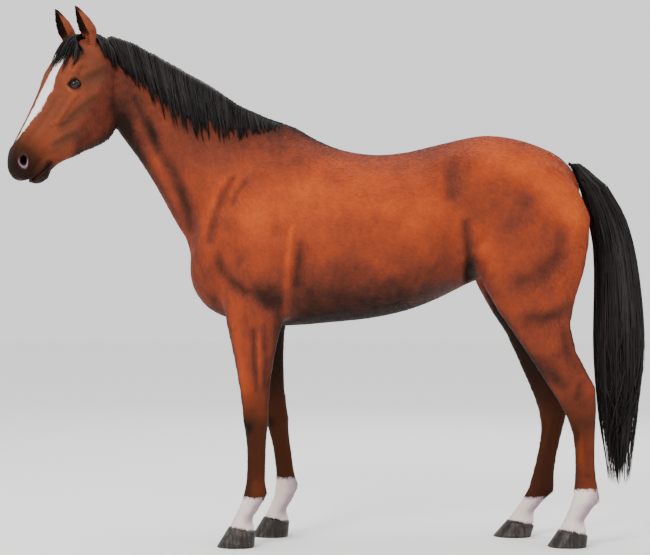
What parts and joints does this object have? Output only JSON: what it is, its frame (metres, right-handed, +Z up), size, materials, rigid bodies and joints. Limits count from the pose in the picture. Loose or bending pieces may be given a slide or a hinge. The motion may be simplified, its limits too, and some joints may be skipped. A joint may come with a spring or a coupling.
{
  "type": "horse",
  "caption": "Life-size bay horse standing still with its head turned to its left, with black mane and tail, a white blaze and white socks.",
  "frame": {"origin": "on the ground, under the middle of the horse's bounding box", "axes": "+Z up, the horse faces -X with its left side towards -Y"},
  "size_m": [2.45, 0.6088, 2.0636],
  "materials": {
    "bay_coat": "short glossy brown hair lying flat over the hide",
    "dark_coat": "short dark brown hair, satin",
    "white_coat": "short white hair over pink skin, satin",
    "long_hair": "coarse black horsehair, satin",
    "hoof_horn": "dark grey horn with fine growth rings, satin",
    "eye": "wet dark brown, glossy"
  },
  "bodies": {
    "root": {"forearm_left": "bay_coat", "cannon_fore_left": "dark_coat", "pastern_fore_left": "white_coat", "hoof_fore_left": "hoof_horn", "forearm_right": "bay_coat", "cannon_fore_right": "dark_coat", "pastern_fore_right": "white_coat", "hoof_fore_right": "hoof_horn", "gaskin_left": "bay_coat", "cannon_hind_left": "dark_coat", "pastern_hind_left": "white_coat", "hoof_hind_left": "hoof_horn", "gaskin_right": "bay_coat", "cannon_hind_right": "dark_coat", "pastern_hind_right": "white_coat", "hoof_hind_right": "hoof_horn", "head": "bay_coat", "neck": "bay_coat", "trunk": "bay_coat", "ear_left": "bay_coat", "ear_right": "bay_coat", "eye_left": "eye", "eye_right": "eye", "mane": "long_hair", "forelock": "long_hair", "tail": "long_hair"}
  },
  "joints": []
}
